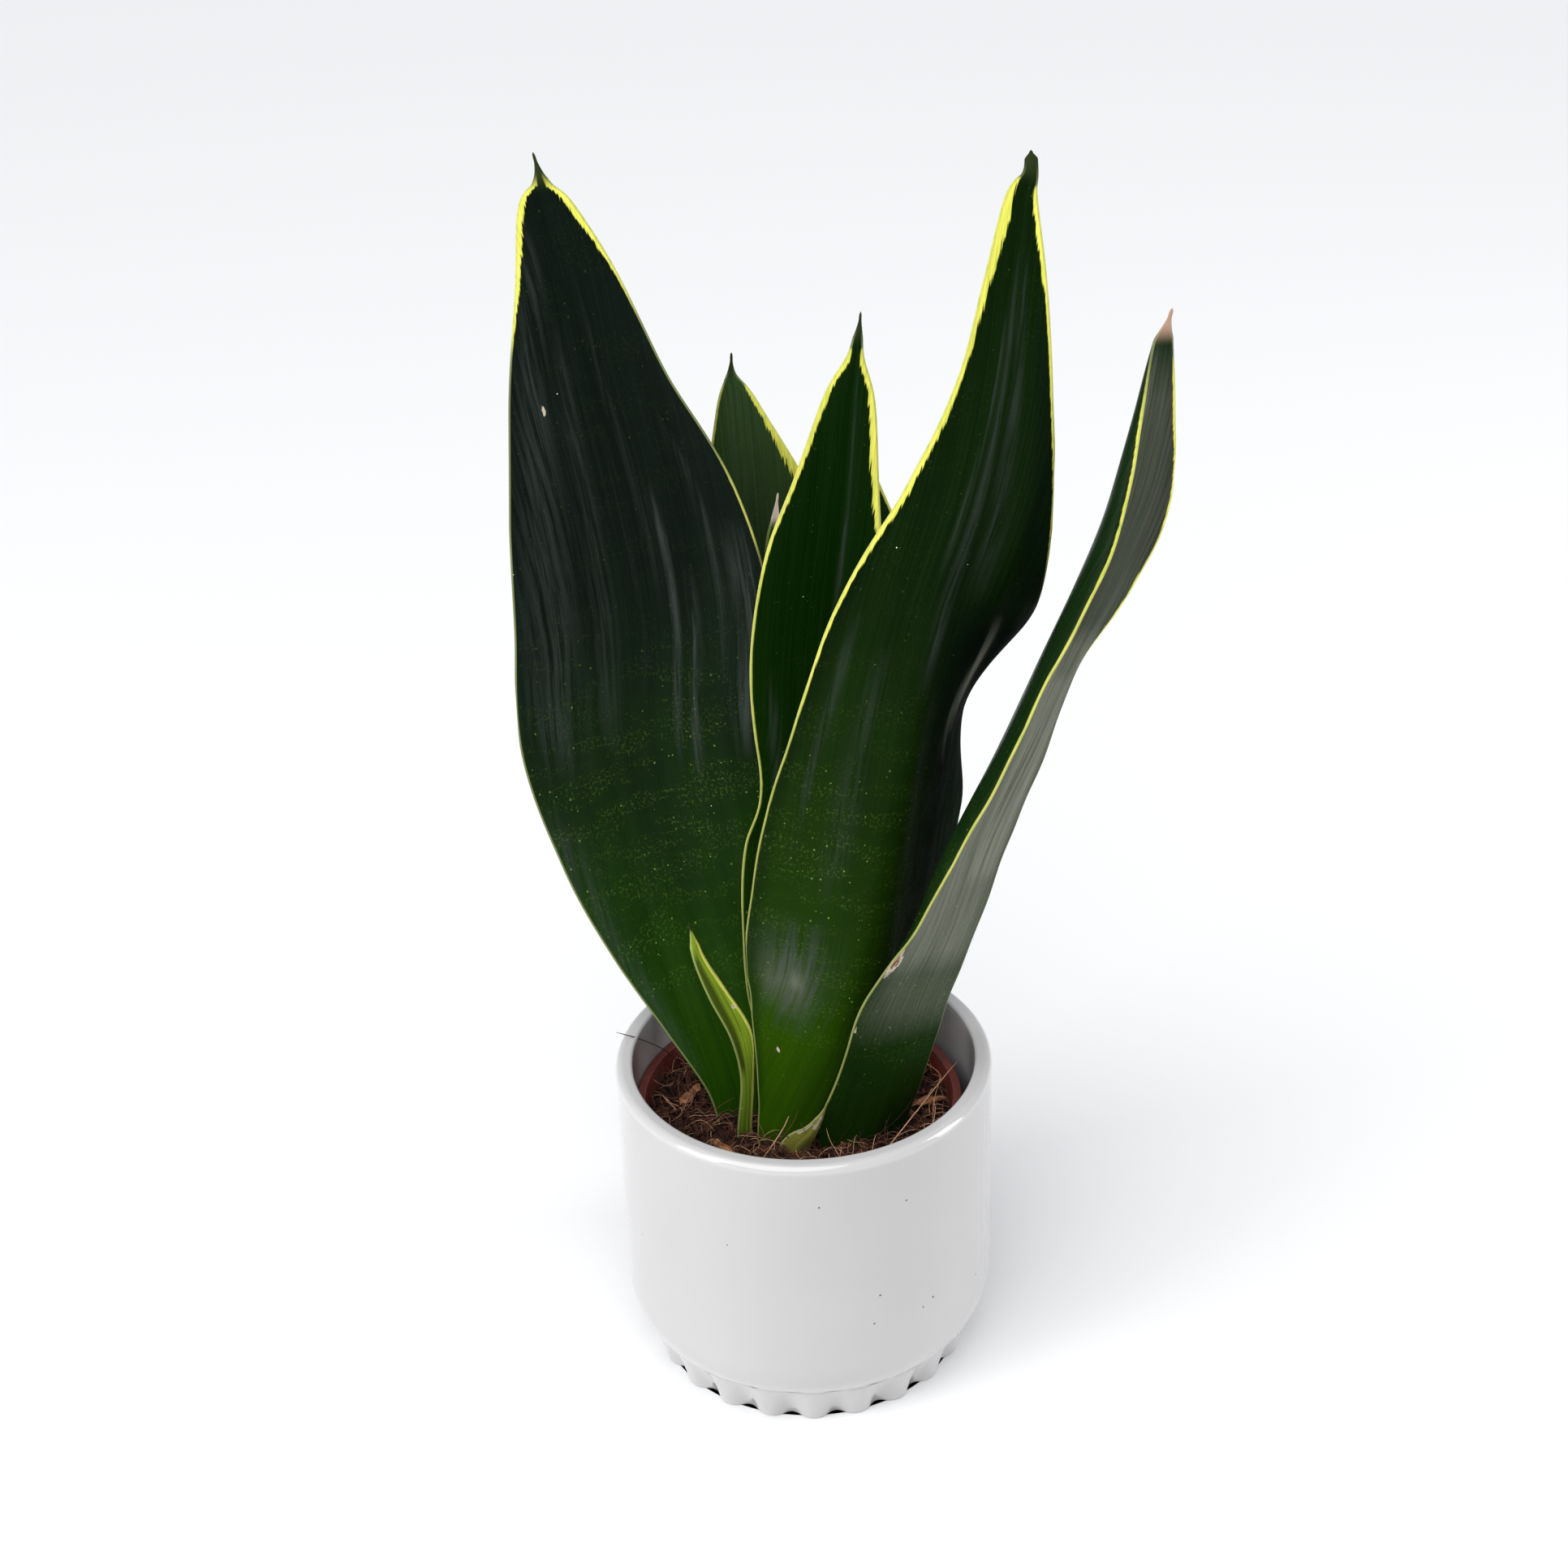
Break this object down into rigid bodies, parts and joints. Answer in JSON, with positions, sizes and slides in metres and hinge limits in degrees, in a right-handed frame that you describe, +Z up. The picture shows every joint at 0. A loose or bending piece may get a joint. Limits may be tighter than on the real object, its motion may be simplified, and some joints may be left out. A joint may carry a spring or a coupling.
{
  "type": "potted snake plant",
  "caption": "Golden-margined snake plant with broad upright sword-shaped leaves, in a red-brown nursery pot that stands in a white glazed cachepot with a lobed foot.",
  "frame": {"origin": "middle of the cachepot's underside, on the surface it stands on", "axes": "+Z up; the plant's front, with the biggest leaf foremost, faces -Y; +X is to the right seen from the front"},
  "size_m": [0.2137, 0.135, 0.4551],
  "materials": {
    "white_glaze": "white gloss glaze over stoneware, a few dark specks",
    "red_brown_plastic": "thin satin nursery pot plastic",
    "potting_mix": "dark moist coir and peat, rough and fibrous",
    "rhizome": "fibrous yellow-brown skin",
    "leaf_green": "waxy dark green leaf with paler cross bands and a yellow margin",
    "young_leaf_green": "waxy light green young leaf",
    "dry_sheath": "papery olive-yellow leaf sheath",
    "bark": "rough bark",
    "coir": "dry coconut fibre"
  },
  "bodies": {
    "root": {"cachepot": "white_glaze", "nursery_pot": "red_brown_plastic", "potting_mix": "potting_mix", "rhizome": "rhizome", "leaf_left": "leaf_green", "leaf_back": "leaf_green", "leaf_back_right": "leaf_green", "leaf_centre": "leaf_green", "leaf_front": "leaf_green", "leaf_right": "leaf_green", "leaf_spike": "leaf_green", "leaf_pup": "young_leaf_green", "sheath_front": "dry_sheath", "bark_chip_right": "bark", "bark_chip_back_right": "bark", "bark_chip_left": "bark", "bark_chip_front_left": "bark", "bark_chip_front_right": "bark", "bark_chip_back": "bark", "coir_strand_left": "coir", "coir_strand_front": "coir", "coir_strand_right": "coir"}
  },
  "joints": []
}
